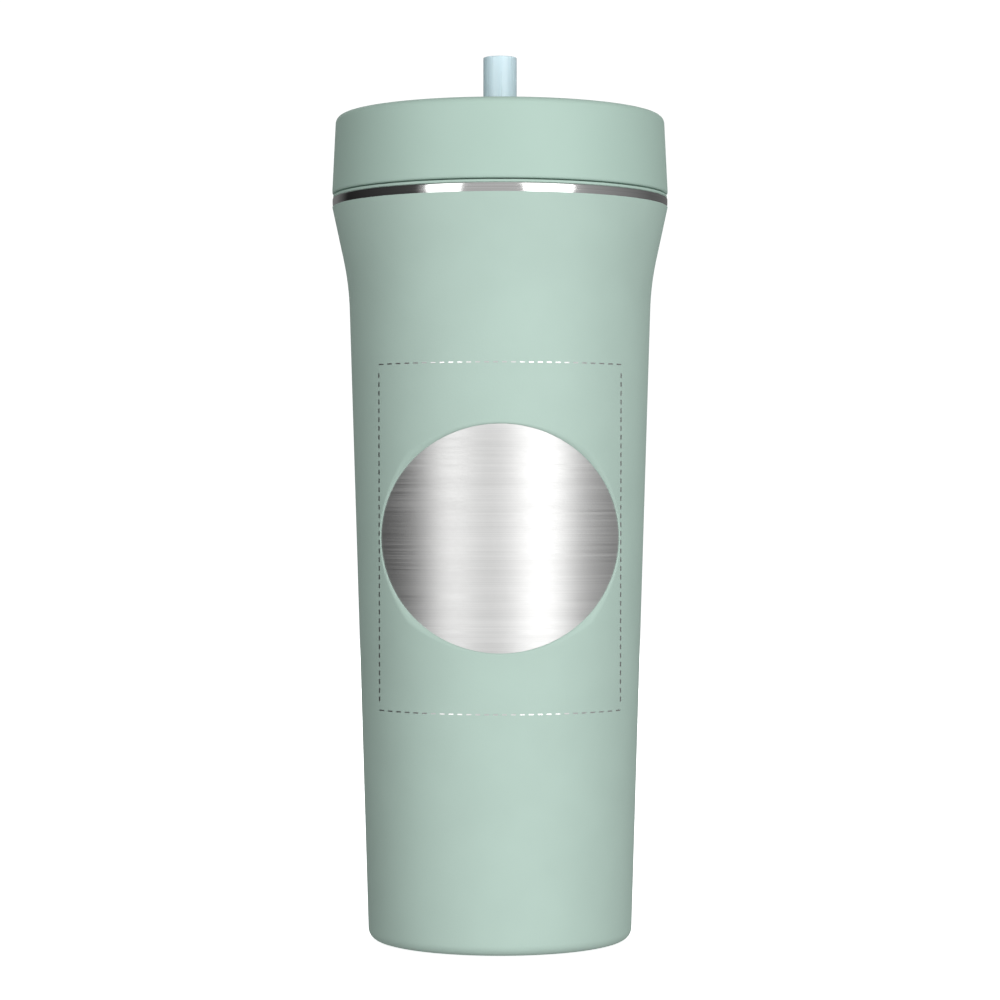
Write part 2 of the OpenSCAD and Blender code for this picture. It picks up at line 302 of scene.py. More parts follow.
def stopper_outline():
    """The ring on the straw that stops it from being pulled out: barrel-shaped, with softly rounded ends."""
    low, high = node_bottom("straw_stopper"), node_top("straw_stopper")
    straw = node_radius("straw_tube")
    bore, wide, edge = straw + SEAT_CLEAR, straw + 2.5 * MM, 0.8 * MM
    return rounded([
        (bore, low, 0.3 * MM),
        (wide - edge, low, edge),
        (wide, (low + high) / 2, 1.5 * MM),
        (wide - edge, high, edge),
        (bore, high, 0.3 * MM),
    ], closed=True)


def pad_outline():
    """The foot ring, with two shallow grooves that keep it from sucking onto a wet table."""
    top, wide, hole = node_top("base_pad"), node_radius("base_pad"), 12 * MM
    groove_mouth, groove_floor, groove_depth = 0.7 * MM, 0.3 * MM, 0.4 * MM
    grooves = [
        (centre + aside, height, 0.15 * MM)
        for centre in (16.5 * MM, 20.5 * MM)
        for aside, height in (
            (-groove_mouth, 0), (-groove_floor, groove_depth),
            (groove_floor, groove_depth), (groove_mouth, 0))
    ]
    inside = [(hole, top, 0), (hole, 0, 0.6 * MM)]
    outside = [(wide, 0, 0.8 * MM), (wide, top, 0)]
    return rounded(inside + grooves + outside, closed=True)


# ---- Meshes ----

def mesh_object(name, vertices, faces, body, material, closed=True):
    """Puts arrays of vertices and faces into a new object that rides on a body.

    Doubles are merged, which closes seams and poles, and a closed surface's normals are turned outwards.
    """
    mesh = bpy.data.meshes.new(name)
    mesh.from_pydata(vertices.tolist(), [], faces.tolist())
    shaped = bmesh.new()
    shaped.from_mesh(mesh)
    bmesh.ops.remove_doubles(shaped, verts=shaped.verts, dist=NEAR)
    if closed:
        bmesh.ops.recalc_face_normals(shaped, faces=shaped.faces)
    shaped.to_mesh(mesh)
    shaped.free()
    mesh.polygons.foreach_set("use_smooth", np.ones(len(mesh.polygons), bool))
    mesh.set_sharp_from_angle(angle=SHARP_TURN)
    mesh.materials.append(material)
    made = bpy.data.objects.new(name, mesh)
    bpy.context.scene.collection.objects.link(made)
    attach(made, body)
    return made


def grid_faces(rows, columns, wrap_rows=False, wrap_columns=False):
    """Index quads of a grid of rows by columns, which may close on itself either way."""
    i, j = np.meshgrid(
        np.arange(rows if wrap_rows else rows - 1),
        np.arange(columns if wrap_columns else columns - 1), indexing="ij")
    up, right = (i + 1) % rows, (j + 1) % columns
    corners = [i * columns + j, i * columns + right, up * columns + right, up * columns + j]
    return np.stack(corners, axis=-1).reshape(-1, 4)


def spun(name, outline, body, material, columns):
    """A closed outline carried round the axis: x = radius cos(angle), y = radius sin(angle), z = height."""
    angle = np.linspace(0, 2 * np.pi, columns, endpoint=False)
    radius, height = outline[:, :1], outline[:, 1:]
    vertices = np.stack([radius * np.cos(angle), radius * np.sin(angle), height + 0 * angle], axis=-1)
    faces = grid_faces(len(outline), columns, True, True)
    return mesh_object(name, vertices.reshape(-1, 3), faces, body, material)


def from_front(radius, angle, height):
    """Points at an angle from the front: x = radius sin(angle), y = -radius cos(angle), z = height."""
    return np.stack([radius * np.sin(angle), -radius * np.cos(angle), height + 0 * angle], axis=-1)


def window_rows(profile, sizes, margin):
    """Rows of the coat's profile nearest to the window's lower and upper edge, past the turned-in foot."""
    on_foot = profile[:, 0] < node_radius("outer_base")
    rows = []
    for side in (-1, 1):
        edge = sizes.disc_centre + side * (sizes.disc_height / 2 + margin)
        rows.append(int(np.argmin(np.where(on_foot, np.inf, np.abs(profile[:, 1] - edge)))))
    return rows


def window_frame(profile, sizes, low_row, high_row, half_columns, rings=9):
    """Vertices and faces that fill the coat's window from its edge in to the engraved disc's oval.

    The edge goes once round the window, along whole rows and columns. Each of its vertices has a partner on
    the oval, in the direction it lies in when the window is stretched to a square, and the rings share out
    the way between the two in equal parts of the angle and of the height.
    """
    across = np.arange(-half_columns, half_columns + 1)
    up = np.arange(low_row, high_row + 1)
    wide, tall = len(across) - 1, len(up) - 1
    edge_columns = np.concatenate([
        across[:-1], np.full(tall, half_columns), across[:0:-1], np.full(tall, -half_columns)])
    edge_rows = np.concatenate([np.full(wide, low_row), up[:-1], np.full(wide, high_row), up[:0:-1]])
    edge_angle = edge_columns * 2 * np.pi / sizes.columns
    edge_height = profile[edge_rows, 1]
    half_height = edge_height.max() - sizes.disc_centre
    direction = np.arctan2((edge_height - sizes.disc_centre) / half_height, edge_angle / edge_angle.max())
    near = profile[low_row - 1:high_row + 2]
    oval_height = sizes.disc_centre + sizes.disc_height / 2 * np.sin(direction)
    oval_radius = np.interp(oval_height, near[:, 1], near[:, 0])
    oval_angle = np.arcsin(sizes.disc_width / 2 * np.cos(direction) / oval_radius)
    share = np.linspace(0, 1, rings)[:, None]
    angle = oval_angle + share * (edge_angle - oval_angle)
    height = oval_height + share * (edge_height - oval_height)
    radius = np.interp(height, near[:, 1], near[:, 0])
    faces = grid_faces(rings, len(edge_angle), False, True)[:, ::-1]
    return from_front(radius, angle, height).reshape(-1, 3), faces


def border_dashes(sizes):
    """Across, up, width and height of every dash, from the disc's centre: two rows, then two columns."""
    long, wide = sizes.dash_length, sizes.dash_width

    def evenly(half):
        end = half - long / 2
        return np.linspace(-end, end, round((2 * half - long) / (long * DASH_PITCH)) + 1)

    half_width, half_height = sizes.border_width / 2, sizes.border_height / 2
    rows = [(evenly(half_width), side * half_height, long, wide) for side in (-1, 1)]
    columns = [(side * half_width, evenly(half_height)[1:-1], wide, long) for side in (-1, 1)]
    return np.vstack([np.column_stack(np.broadcast_arrays(*line)) for line in rows + columns])


def drill(piece, centre, radius, low, high, segments=32):
    """Cuts a straight round hole through a piece, with a closed cylinder as the cutter."""
    angle = np.linspace(0, 2 * np.pi, segments, endpoint=False)
    ring = np.column_stack([centre[0] + radius * np.cos(angle), centre[1] + radius * np.sin(angle)])
    vertices = np.vstack([np.column_stack([ring, np.full(segments, z)]) for z in (low, high)])
    sides = grid_faces(2, segments, False, True).tolist()
    caps = [list(range(segments - 1, -1, -1)), list(range(segments, 2 * segments))]
    mesh = bpy.data.meshes.new("cutter")
    mesh.from_pydata(vertices.tolist(), [], sides + caps)
    cutter = bpy.data.objects.new("cutter", mesh)
    bpy.context.scene.collection.objects.link(cutter)
    cut = piece.modifiers.new("hole", "BOOLEAN")
    cut.object, cut.operation, cut.solver = cutter, "DIFFERENCE", "EXACT"
    graph = bpy.context.evaluated_depsgraph_get()
    drilled, whole = bpy.data.meshes.new_from_object(piece.evaluated_get(graph)), piece.data
    piece.modifiers.remove(cut)
    piece.data = drilled
    bpy.data.objects.remove(cutter)
    for used in (mesh, whole):
        bpy.data.meshes.remove(used)


def smooth_copy(node, body, material):
    """A merged, smoothly shaded copy of a CAD node that stands for it."""
    copy = NODES[node].copy()
    copy.data = NODES[node].data.copy()
    copy.name = node + "_finish"
    copy.parent = None
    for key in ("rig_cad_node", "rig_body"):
        if key in copy:
            del copy[key]
    bpy.context.scene.collection.objects.link(copy)
    shaped = bmesh.new()
    shaped.from_mesh(copy.data)
    bmesh.ops.remove_doubles(shaped, verts=shaped.verts, dist=CAD_NEAR)
    shaped.to_mesh(copy.data)
    shaped.free()
    copy.data.polygons.foreach_set("use_smooth", np.ones(len(copy.data.polygons), bool))
    copy.data.set_sharp_from_angle(angle=SHARP_TURN)
    copy.data.materials.clear()
    copy.data.materials.append(material)
    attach(copy, body)
    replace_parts(copy, node)
    return copy


# ---- Finishes ----

def finish(name, colour, metallic=0.0, roughness=0.5):
    """A new material, with its node tree and its shader.

    The frame's own materials have the slots' names, so these don't.
    """
    material = bpy.data.materials.new(name)
    material.use_nodes = True
    tree = material.node_tree
    shader = tree.nodes["Principled BSDF"]
    shader.inputs["Base Color"].default_value = (*colour, 1)
    shader.inputs["Metallic"].default_value = metallic
    shader.inputs["Roughness"].default_value = roughness
    return material, tree, shader


def place(tree, scale=(1, 1, 1)):
    """Object coordinates, stretched by a scale along each axis."""
    coordinates = tree.nodes.new("ShaderNodeTexCoord")
    mapping = tree.nodes.new("ShaderNodeMapping")
    mapping.inputs["Scale"].default_value = scale
    tree.links.new(coordinates.outputs["Object"], mapping.inputs["Vector"])
    return mapping.outputs["Vector"]


def noise(tree, where, scale, detail=3.0, roughness=0.5):
    """The value of a noise pattern, with about this many patches to the metre."""
    made = tree.nodes.new("ShaderNodeTexNoise")
    made.inputs["Scale"].default_value = scale
    made.inputs["Detail"].default_value = detail
    made.inputs["Roughness"].default_value = roughness
    tree.links.new(where, made.inputs["Vector"])
    return made.outputs["Fac"]


def spread(tree, value, low, high, start=0.3, end=0.7):
    """Turns a pattern's value between start and end into a number between low and high."""
    made = tree.nodes.new("ShaderNodeMapRange")
    limits = {"From Min": start, "From Max": end, "To Min": low, "To Max": high}
    for socket, number in limits.items():
        made.inputs[socket].default_value = number
    tree.links.new(value, made.inputs["Value"])
    return made.outputs["Result"]


def sum_node(tree, operation, first, second):
    """The result of one operation on two values, each a socket or a number."""
    made = tree.nodes.new("ShaderNodeMath")
    made.operation = operation
    for socket, value in zip(made.inputs, (first, second)):
        if isinstance(value, (int, float)):
            socket.default_value = value
        else:
            tree.links.new(value, socket)
    return made.outputs[0]


def either(tree, chooser, first, second):
    """The first shader where the chooser is 0, and the second where it is 1."""
    made = tree.nodes.new("ShaderNodeMixShader")
    for socket, value in zip(made.inputs, (chooser, first, second)):
        tree.links.new(value, socket)
    return made.outputs[0]


def mottled(tree, shader, pattern, colour, depth):
    """Gives the shader a colour that a pattern darkens and lightens by a share of itself."""
    made = tree.nodes.new("ShaderNodeMix")
    made.data_type = "RGBA"
    made.inputs["A"].default_value = (*[part * (1 - depth) for part in colour], 1)
    made.inputs["B"].default_value = (*[min(1, part * (1 + depth)) for part in colour], 1)
    tree.links.new(pattern, made.inputs["Factor"])
    tree.links.new(made.outputs["Result"], shader.inputs["Base Color"])


def glossed(tree, shader, pattern, low, high):
    """Gives the shader a roughness that follows a pattern between two values."""
    tree.links.new(spread(tree, pattern, low, high), shader.inputs["Roughness"])


def bumped(tree, shader, pattern, depth, strength=1.0):
    """Raises and lowers the surface by a pattern, to a depth in metres."""
    made = tree.nodes.new("ShaderNodeBump")
    made.inputs["Distance"].default_value = depth
    made.inputs["Strength"].default_value = strength
    tree.links.new(pattern, made.inputs["Height"])
    tree.links.new(made.outputs["Normal"], shader.inputs["Normal"])


def powder_finish(colours):
    """Powder coat: a fine orange-peel stipple, a slight drift of colour and a soft satin gloss."""
    material, tree, shader = finish("powder_coat_finish", colours.coat, roughness=0.5)
    where = place(tree)
    grain = noise(tree, where, scale=1500, detail=4)
    drift = noise(tree, where, scale=60, detail=2)
    mottled(tree, shader, spread(tree, drift, 0, 1), colours.coat, depth=0.02)
    glossed(tree, shader, grain, 0.5, 0.64)
    shader.inputs["Specular IOR Level"].default_value = 0.25
    bumped(tree, shader, grain, depth=0.05 * MM, strength=0.45)
    return material


def lid_finish(colours):
    """Moulded lid plastic: an even spark-eroded texture, finer than the coat's."""
    material, tree, shader = finish("lid_moulding_finish", colours.lid, roughness=0.46)
    where = place(tree)
    grain = noise(tree, where, scale=2600, detail=3)
    drift = noise(tree, where, scale=40, detail=2)
    mottled(tree, shader, spread(tree, drift, 0, 1), colours.lid, depth=0.015)
    glossed(tree, shader, grain, 0.48, 0.58)
    shader.inputs["Specular IOR Level"].default_value = 0.25
    bumped(tree, shader, grain, depth=0.02 * MM, strength=0.35)
    return material


def silicone_finish(colours):
    """Silicone: soft and matt, slightly dusty, with a faint sheen at grazing angles."""
    material, tree, shader = finish("silicone_finish", colours.silicone, roughness=0.6)
    dust = noise(tree, place(tree), scale=900, detail=4)
    mottled(tree, shader, spread(tree, dust, 0, 1), colours.silicone, depth=0.04)
    glossed(tree, shader, dust, 0.52, 0.68)
    shader.inputs["Sheen Weight"].default_value = 0.15
    bumped(tree, shader, dust, depth=0.02 * MM, strength=0.3)
    return material


def brushed_finish(colours, name="brushed_steel", roughness=(0.26, 0.42), streak=0.09):
    """Steel that was brushed round the axis: streaks that are long in the round and fine along Z."""
    material, tree, shader = finish(name, colours.steel, metallic=1.0)
    streaks = noise(tree, place(tree, (14, 14, 5200)), scale=1, detail=4, roughness=0.65)
    bands = noise(tree, place(tree, (6, 6, 420)), scale=1, detail=2)
    mixed = sum_node(tree, "ADD", spread(tree, streaks, 0, 0.7), spread(tree, bands, 0, 0.3))
    mottled(tree, shader, mixed, colours.steel, depth=streak)
    glossed(tree, shader, streaks, *roughness)
    bumped(tree, shader, streaks, depth=0.012 * MM, strength=0.5)
    return material


def wall_finish(colours, sizes):
    """The outer sheet: brushed where the engraving bares it and polished in the band at the rim."""
    band_roughness, below_band, fade = 0.1, 1 * MM, 0.2 * MM
    material = brushed_finish(colours, "outer_steel", (0.42, 0.58), 0.13)
    tree = material.node_tree
    shader = tree.nodes["Principled BSDF"]
    height = tree.nodes.new("ShaderNodeSeparateXYZ")
    tree.links.new(place(tree), height.inputs["Vector"])
    edge = sizes.band_base - below_band
    polished = spread(tree, height.outputs["Z"], 0, 1, edge, edge + fade)
    blend = tree.nodes.new("ShaderNodeMix")
    blend.inputs["B"].default_value = band_roughness
    rough = shader.inputs["Roughness"].links[0].from_socket
    tree.links.new(polished, blend.inputs["Factor"])
    tree.links.new(rough, blend.inputs["A"])
    tree.links.new(blend.outputs["Result"], shader.inputs["Roughness"])
    return material


def straw_finish(colours):
    """Frosted translucent plastic, faintly ribbed where it was drawn."""
    material, tree, shader = finish("frosted_straw_finish", colours.straw, roughness=0.28)
    drawn = noise(tree, place(tree, (1500, 1500, 30)), scale=1, detail=2)
    mottled(tree, shader, spread(tree, drawn, 0, 1), colours.straw, depth=0.025)
    glossed(tree, shader, drawn, 0.24, 0.36)
    shader.inputs["Transmission Weight"].default_value = 0.2
    shader.inputs["IOR"].default_value = 1.45
    bumped(tree, shader, drawn, depth=0.01 * MM, strength=0.3)
    return material


def metal_finish(name, colour, roughness, scale, depth):
    """Plain sheet or pressed metal, with a mottled gloss."""
    material, tree, shader = finish(name, colour, metallic=1.0)
    mottle = noise(tree, place(tree), scale, detail=4)
    mottled(tree, shader, spread(tree, mottle, 0, 1), colour, depth=0.08)
    glossed(tree, shader, mottle, roughness * 0.8, roughness * 1.25)
    bumped(tree, shader, mottle, depth, strength=0.5)
    return material


def solder_finish():
    """Fused solder glass: dark grey, glossy and slightly wrinkled."""
    colour = (0.05, 0.05, 0.06)
    material, tree, shader = finish("solder_glass_finish", colour, roughness=0.2)
    wrinkle = noise(tree, place(tree), scale=1800, detail=3)
    mottled(tree, shader, spread(tree, wrinkle, 0, 1), colour, depth=0.2)
    bumped(tree, shader, wrinkle, depth=0.04 * MM, strength=0.6)
    return material


def once(name, make, *values):
    """The material of that name, made on its first use."""
    return bpy.data.materials.get(name) or make(*values)


# ---- Stage ----

def softbox(name, azimuth, elevation, distance, width, height, watts, reflected):
    """A rectangular lamp that faces the object's middle, from an azimuth that is 0 at the camera's side."""
    lamp = bpy.data.lights.new(name, "AREA")
    lamp.shape, lamp.size, lamp.size_y, lamp.energy = "RECTANGLE", width, height, watts
    made = bpy.data.objects.new(name, lamp)
    made.visible_camera = False
    made.visible_glossy = reflected
    bpy.context.scene.collection.objects.link(made)
    turn, rise = math.radians(azimuth), math.radians(elevation)
    middle = node_top("straw_tube") / 2
    made.location = (
        distance * math.sin(turn) * math.cos(rise),
        -distance * math.cos(turn) * math.cos(rise),
        middle + distance * math.sin(rise))
    made.rotation_euler = (math.pi / 2 - rise, 0, turn)


def studio_world():
    """White where the camera looks past the object, and a soft ring of greys that lights it from all round.

    The grey depends on the azimuth of the direction, counted from the camera's side: bright in front, almost
    black at the left, and dimmer towards the right and behind.
    """
    world = bpy.data.worlds.new("studio")
    world.use_nodes = True
    tree = world.node_tree
    tree.nodes.clear()
    where = tree.nodes.new("ShaderNodeTexCoord")
    split = tree.nodes.new("ShaderNodeSeparateXYZ")
    tree.links.new(where.outputs["Generated"], split.inputs["Vector"])
    towards_camera = sum_node(tree, "MULTIPLY", split.outputs["Y"], -1)
    azimuth = sum_node(tree, "ARCTAN2", split.outputs["X"], towards_camera)
    ramp = tree.nodes.new("ShaderNodeValToRGB")
    tree.links.new(spread(tree, azimuth, 0, 1, -math.pi, math.pi), ramp.inputs["Fac"])
    stops = ramp.color_ramp.elements
    for degrees, _ in RING_GREYS[len(stops):]:
        stops.new((degrees + 180) / 360)
    for stop, (degrees, grey) in zip(stops, RING_GREYS):
        stop.position = (degrees + 180) / 360
        stop.color = (grey, grey, grey, 1)
    ring = tree.nodes.new("ShaderNodeBackground")
    tree.links.new(ramp.outputs["Color"], ring.inputs["Color"])
    white = tree.nodes.new("ShaderNodeBackground")
    white.inputs["Color"].default_value = (1, 1, 1, 1)
    white.inputs["Strength"].default_value = 1.05
    ray = tree.nodes.new("ShaderNodeLightPath")
    out = tree.nodes.new("ShaderNodeOutputWorld")
    seen = either(tree, ray.outputs["Is Camera Ray"], ring.outputs[0], white.outputs[0])
    tree.links.new(seen, out.inputs["Surface"])
    bpy.context.scene.world = world


def paper_finish():
    """White paper that glows to the camera only, and is clear from below so that the object's base shows."""
    grey, glow = (0.95, 0.95, 0.95), 0.8
    material, tree, shader = finish("floor_paper", grey, roughness=0.8)
    fibre = noise(tree, place(tree), scale=300, detail=3)
    mottled(tree, shader, spread(tree, fibre, 0, 1), grey, depth=0.01)
    ray = tree.nodes.new("ShaderNodeLightPath")
    seen = spread(tree, ray.outputs["Is Camera Ray"], 0, glow, 0, 1)
    tree.links.new(seen, shader.inputs["Emission Strength"])
    shader.inputs["Emission Color"].default_value = (1, 1, 1, 1)
    clear = tree.nodes.new("ShaderNodeBsdfTransparent")
    geometry = tree.nodes.new("ShaderNodeNewGeometry")
    sided = either(tree, geometry.outputs["Backfacing"], shader.outputs[0], clear.outputs[0])
    tree.links.new(sided, tree.nodes["Material Output"].inputs["Surface"])
    return material


def paper_floor():
    """A wide sheet just under the foot, which neither bounces nor blocks the light on the object."""
    reach, drop = 60.0, 0.02 * MM
    mesh = bpy.data.meshes.new("floor")
    square = np.array([[-1, -1], [1, -1], [1, 1], [-1, 1]])
    corners = np.hstack([reach * square, np.full((4, 1), -drop)])
    mesh.from_pydata(corners.tolist(), [], [[0, 1, 2, 3]])
    mesh.materials.append(paper_finish())
    floor = bpy.data.objects.new("floor", mesh)
    bpy.context.scene.collection.objects.link(floor)
    floor.visible_diffuse = False
    floor.visible_glossy = False
    floor.visible_transmission = False
    floor.visible_shadow = False


def front_camera(scene):
    """A long lens level with the object's middle, which looks along +Y."""
    distance, height = 0.80, 0.1181
    lens = bpy.data.cameras.new("camera")
    lens.sensor_width, lens.lens = 36, 107
    camera = bpy.data.objects.new("camera", lens)
    camera.location = (0, -distance, height)
    camera.rotation_euler = (math.pi / 2, 0, 0)
    scene.collection.objects.link(camera)
    scene.camera = camera


# ---- Operators ----

class TUMBLER_OT_outer_wall(Operator):
    """Make the outer steel sheet, with its turned-in foot and the bare polished band at the rim."""

    bl_idname = "tumbler.outer_wall"
    bl_label = "Outer Wall"

    def execute(self, context):
        sizes, colours = context.scene.tumbler_sizes, context.scene.tumbler_colours
        rim_round = 0.4 * MM
        corners = body_corners(sizes) + [
            (sizes.rim_radius, sizes.cup_height, rim_round),
            (sizes.rim_radius - sizes.seam_inset, sizes.cup_height, 0),
        ]
        outline = sheet_profile(resampled(rounded(corners), COARSE_STEP), sizes.sheet_thickness)
        wall = spun("outer_wall_steel", outline, "cup",
                    once("outer_steel", wall_finish, colours, sizes), sizes.columns)
        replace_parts(wall, "outer_wall")
        return {"FINISHED"}


class TUMBLER_OT_powder_coat(Operator):
    """Make the powder coat, with the blank engraved disc cut out of its front."""

    bl_idname = "tumbler.powder_coat"
    bl_label = "Powder Coat"

    def execute(self, context):
        sizes, colours = context.scene.tumbler_sizes, context.scene.tumbler_colours
        # The window round the disc: half its angle in degrees, and its height above and below the disc
        half_turn, margin = 63, 5 * MM
        # The skin is this share of the coat's thickness, so that its back stays just off the steel
        thickness_share = 0.98
        profile = coat_profile(sizes)
        rows, columns = len(profile), sizes.columns
        half_columns = round(columns * half_turn / 360)
        low_row, high_row = window_rows(profile, sizes, margin)
        # Column 0 is at the front
        angle = np.arange(columns) * 2 * np.pi / columns
        skin = from_front(profile[:, :1], angle, profile[:, 1:]).reshape(-1, 3)
        row, column = np.divmod(np.arange((rows - 1) * columns), columns)
        from_edge = (column + half_columns) % columns
        in_window = (row >= low_row) & (row < high_row) & (from_edge < 2 * half_columns)
        faces = grid_faces(rows, columns, False, True)[~in_window]
        filling, filling_faces = window_frame(profile, sizes, low_row, high_row, half_columns)
        coat = mesh_object(
            "powder_coat_skin", np.vstack([skin, filling]), np.vstack([faces, filling_faces + len(skin)]),
            "cup", once("powder_coat_finish", powder_finish, colours), closed=False)
        wall = coat.modifiers.new("thickness", "SOLIDIFY")
        wall.thickness, wall.offset = sizes.coat_thickness * thickness_share, -1
        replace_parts(coat, "powder_coat")
        return {"FINISHED"}


class TUMBLER_OT_border(Operator):
    """Make the dashed border: thin steel slabs that are let into the coat and stand just proud of it."""

    bl_idname = "tumbler.border"
    bl_label = "Dashed Border"

    def execute(self, context):
        sizes, colours = context.scene.tumbler_sizes, context.scene.tumbler_colours
        foot_height = 5 * MM
        profile = coat_profile(sizes)
        body = profile[profile[:, 1] > foot_height]
        dashes = border_dashes(sizes)
        # Each dash is a bent slab's eight corners: left or right, low or high, under or over the coat's face
        corner = np.array([[-1, -1], [1, -1], [1, 1], [-1, 1]]) / 2
        across = dashes[:, None, 0] + corner[:, 0] * dashes[:, None, 2]
        height = sizes.disc_centre + dashes[:, None, 1] + corner[:, 1] * dashes[:, None, 3]
        face = np.interp(height, body[:, 1], body[:, 0])
        angle = np.arcsin(across / face)
        layers = [from_front(face + lift, angle, height) for lift in (-DASH_DEPTH, DASH_PROUD)]
        vertices = np.concatenate(layers, axis=1).reshape(-1, 3)
        slab = np.array([[3, 2, 1, 0], [4, 5, 6, 7], [0, 1, 5, 4], [1, 2, 6, 5], [2, 3, 7, 6], [3, 0, 4, 7]])
        faces = (slab[None] + 8 * np.arange(len(dashes))[:, None, None]).reshape(-1, 4)
        border = mesh_object("engraved_border", vertices, faces, "cup",
                             once("brushed_steel", brushed_finish, colours))
        border.data.polygons.foreach_set("use_smooth", np.zeros(len(border.data.polygons), bool))
        return {"FINISHED"}


class TUMBLER_OT_inside(Operator):
    """Make the drinking side: the brushed inner tube with its seat and ledge, and the floor pan."""

    bl_idname = "tumbler.inside"
    bl_label = "Inside"

    def execute(self, context):
        sizes, colours = context.scene.tumbler_sizes, context.scene.tumbler_colours
        steel = once("brushed_steel", brushed_finish, colours)
        thickness = sizes.inner_thickness
        low = node_bottom("inner_wall")
        floor = node_bottom("inner_base") + thickness
        waist = sizes.cup_height - sizes.shoulder_depth - sizes.flare_height
        wall_total = sizes.sheet_thickness + sizes.vacuum_gap + thickness
        waist_radius = sizes.rim_radius - sizes.flare_out - wall_total
        slope = sizes.taper_out / (waist - node_bottom("outer_wall"))
        low_radius = waist_radius - slope * (waist - low)
        floor_radius = waist_radius - slope * (waist - floor)
        tube = rounded([
            (low_radius, low, 0),
            (waist_radius, waist, 10 * MM),
            (sizes.mouth_radius, sizes.cup_height - sizes.seat_depth, 3 * MM),
            (sizes.mouth_radius, sizes.cup_height, 1 * MM),
            (sizes.rim_radius - sizes.seam_inset, sizes.cup_height, 0),
        ])
        wall = spun("inner_wall_steel", sheet_profile(resampled(tube, COARSE_STEP), -thickness),
                    "cup", steel, sizes.columns)
        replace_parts(wall, "inner_wall")
        pan = rounded([(0, floor, 0), (floor_radius, floor, 5 * MM), (low_radius, low, 0)])
        base = spun("inner_base_steel", sheet_profile(resampled(pan, FINE_STEP), -thickness),
                    "cup", steel, sizes.columns)
        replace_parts(base, "inner_base")
        return {"FINISHED"}


class TUMBLER_OT_lid_cover(Operator):
    """Make the lid's hollow cover: drafted skirt, rounded top edge, dished top and the grommet's hole."""

    bl_idname = "tumbler.lid_cover"
    bl_label = "Lid Cover"

    def execute(self, context):
        sizes, colours = context.scene.tumbler_sizes, context.scene.tumbler_colours
        skirt_radius = node_radius("lid_cover")
        top, skirt = node_top("lid_cover"), node_bottom("lid_cover")
        top_radius = skirt_radius - sizes.skirt_lean
        inner = top_radius - sizes.lid_thickness
        plate = top - sizes.dish_depth
        under = plate - sizes.lid_thickness
        dish, half_slope = top_radius - sizes.dish_border, sizes.dish_depth / 2
        hole = sizes.grommet_hole
        # The cover stands on the base's upstand at the ledge, and a rib inside the upstand centres it
        ledge, rib = skirt + 3.65 * MM, skirt + 5.45 * MM
        upstand, rib_radius = inner + 0.2 * MM, inner - 1.6 * MM
        outline = rounded([
            (hole, plate, 0.15 * MM),
            (dish - half_slope, plate, 2.5 * MM),
            (dish + half_slope, top, 2 * MM),
            (top_radius, top, 2.2 * MM),
            (skirt_radius - 0.03 * MM, skirt + 1.4 * MM, 0.8 * MM),
            (skirt_radius, skirt, 0.6 * MM),
            (upstand + SEAT_CLEAR, skirt, 0.3 * MM),
            (upstand + SEAT_CLEAR, ledge, 0),
            (rib_radius, ledge, 0.3 * MM),
            (rib_radius, rib, 0.3 * MM),
            (inner - 0.1 * MM, rib + 1 * MM, 0.3 * MM),
            (inner - 0.3 * MM, under - 0.4 * MM, 2 * MM),
            (dish, under, 0),
            (hole, under, 0),
        ], closed=True)
        cover = spun("lid_cover_shell", outline, "lid",
                     once("lid_moulding_finish", lid_finish, colours), sizes.columns)
        drill(cover, (0, sizes.vent_back), sizes.vent_radius, under - 1 * MM, top + 1 * MM)
        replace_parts(cover, "lid_cover")
        return {"FINISHED"}


class TUMBLER_OT_lid_base(Operator):
    """Make the lid's plug, with its seal groove, the thin lip on the rim and the straw's well."""

    bl_idname = "tumbler.lid_base"
    bl_label = "Lid Base"

    def execute(self, context):
        colours = context.scene.tumbler_colours
        smooth_copy("lid_base", "lid", once("lid_moulding_finish", lid_finish, colours))
        return {"FINISHED"}


class TUMBLER_OT_silicone(Operator):
    """Make the silicone pieces: the straw's grommet and stopper, the foot ring, the seal and the valve."""

    bl_idname = "tumbler.silicone"
    bl_label = "Silicone Pieces"

    def execute(self, context):
        sizes, colours = context.scene.tumbler_sizes, context.scene.tumbler_colours
        rubber = once("silicone_finish", silicone_finish, colours)
        rings = (
            ("straw_grommet", grommet_outline(sizes), "lid", GROMMET_COLUMNS),
            ("straw_stopper", stopper_outline(), "straw", RING_COLUMNS),
            ("base_pad", pad_outline(), "cup", sizes.columns),
        )
        for node, outline, body, columns in rings:
            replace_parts(spun(node + "_ring", outline, body, rubber, columns), node)
        for node in ("lid_gasket", "vent_valve"):
            smooth_copy(node, "lid", rubber)
        return {"FINISHED"}


class TUMBLER_OT_straw(Operator):
    """Make the straw: a frosted tube with softly rounded ends."""

    bl_idname = "tumbler.straw"
    bl_label = "Straw"

    def execute(self, context):
        sizes, colours = context.scene.tumbler_sizes, context.scene.tumbler_colours
        low_round, top_round = 0.25 * MM, 0.3 * MM
        outside = node_radius("straw_tube")
        inside = outside - sizes.straw_wall
        low, high = node_bottom("straw_tube"), node_top("straw_tube")
        outline = rounded([
            (inside, low, low_round), (outside, low, low_round),
            (outside, high, top_round), (inside, high, top_round),
        ], closed=True)
        straw = spun("straw_tube_wall", outline, "straw",
                     once("frosted_straw_finish", straw_finish, colours), RING_COLUMNS)
        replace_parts(straw, "straw_tube")
        return {"FINISHED"}


